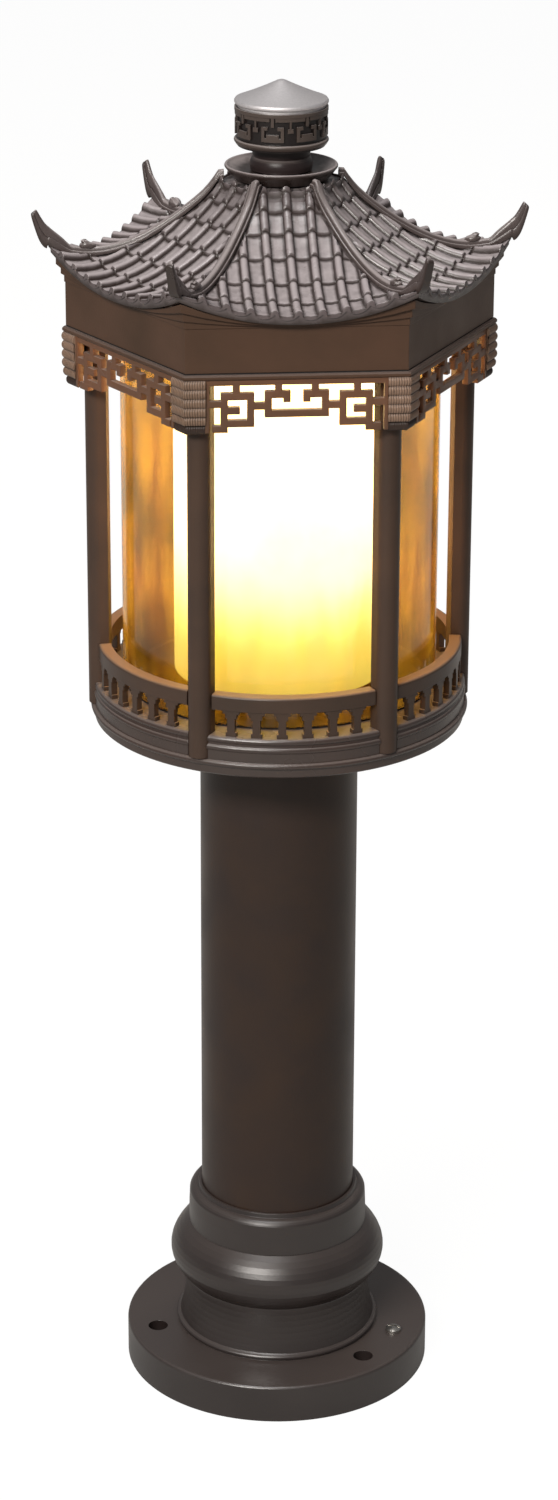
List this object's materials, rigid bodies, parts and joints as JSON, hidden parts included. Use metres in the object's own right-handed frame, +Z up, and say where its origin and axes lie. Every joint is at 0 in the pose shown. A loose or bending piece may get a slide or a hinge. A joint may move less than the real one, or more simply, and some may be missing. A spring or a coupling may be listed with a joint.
{
  "type": "pagoda lantern floor lamp",
  "caption": "Pagoda lantern lamp with a tiled six-sided roof, fretwork frieze, glowing cylinder in a clear tube, round column and bolted base.",
  "frame": {"origin": "centre of the base's underside, on the column's axis", "axes": "+Z up the column; a flat side of the lantern faces -Y and a corner post stands on +X"},
  "size_m": [0.28, 0.2446, 0.8],
  "materials": {
    "bronze_paint": "dark bronze powder coat on cast aluminium, satin",
    "roof_paint": "grey-brown powder coat on cast aluminium, satin",
    "zinc_steel": "zinc plated",
    "seal_rubber": "moulded EPDM, matt",
    "block_plastic": "moulded polyamide",
    "lead_sheath": "silicone sheath",
    "clear_acrylic": "clear amber-tinted cast acrylic",
    "glow_acrylic": "opal acrylic, lit from inside",
    "seat_plastic": "black moulded",
    "holder_ceramic": "glazed steatite",
    "cap_metal": "rolled thin shell",
    "bulb_glass": "opal bulb"
  },
  "bodies": {
    "stem": {"base_casting": "bronze_paint", "column_tube": "bronze_paint", "tray": "bronze_paint", "balustrade_1": "bronze_paint", "balustrade_2": "bronze_paint", "balustrade_3": "bronze_paint", "balustrade_4": "bronze_paint", "balustrade_5": "bronze_paint", "balustrade_6": "bronze_paint", "post_1": "bronze_paint", "post_2": "bronze_paint", "post_3": "bronze_paint", "post_4": "bronze_paint", "post_5": "bronze_paint", "post_6": "bronze_paint", "top_ring": "bronze_paint", "frieze_1": "bronze_paint", "frieze_2": "bronze_paint", "frieze_3": "bronze_paint", "frieze_4": "bronze_paint", "frieze_5": "bronze_paint", "frieze_6": "bronze_paint", "bracket_1": "bronze_paint", "bracket_2": "bronze_paint", "bracket_3": "bronze_paint", "bracket_4": "bronze_paint", "bracket_5": "bronze_paint", "bracket_6": "bronze_paint", "earth_screw": "zinc_steel", "tie_rod": "zinc_steel", "tie_nuts": "zinc_steel", "tie_washers": "zinc_steel", "terminal_screws": "zinc_steel", "post_screws": "zinc_steel", "bridge_screws": "zinc_steel", "holder_bridge": "zinc_steel", "crossbar": "zinc_steel", "crossbar_screws": "zinc_steel", "crown_stud": "zinc_steel", "column_seals": "seal_rubber", "tube_seals": "seal_rubber", "roof_gasket": "seal_rubber", "terminal_block": "block_plastic", "lamp_lead": "lead_sheath", "clear_tube": "clear_acrylic", "glow_cylinder": "glow_acrylic", "glow_seat": "seat_plastic", "lampholder": "holder_ceramic"},
    "roof": {"fascia_box": "bronze_paint", "eave_cornice": "bronze_paint", "roof_shell": "roof_paint", "hip_ridges": "roof_paint", "crown_disc": "roof_paint"},
    "washer": {"crown_washer": "seal_rubber"},
    "finial": {"finial_neck": "bronze_paint", "finial_drum": "bronze_paint", "finial_cap": "roof_paint"},
    "bulb": {"bulb_cap": "cap_metal", "bulb_glass": "bulb_glass"}
  },
  "joints": [
    {"name": "roof_lift", "type": "slide", "parent": "stem", "child": "roof", "axis": [0, 0, 1], "range_m": [0, 0.15]},
    {"name": "finial_travel", "type": "slide", "parent": "roof", "child": "washer", "axis": [0, 0, 1], "range_m": [0, 0.0075]},
    {"name": "finial_turn", "type": "hinge", "parent": "washer", "child": "finial", "pos_m": [0, 0, 0.75], "axis": [0, 0, 1], "range_deg": [0, 1800]},
    {"name": "bulb_turn", "type": "hinge", "parent": "stem", "child": "bulb", "pos_m": [0, 0, 0.52], "axis": [0, 0, 1], "range_deg": [0, 900]}
  ],
  "couplings": [
    {"joint": "finial_travel", "follows": "finial_turn", "m_per_rad": 0.00023873}
  ]
}
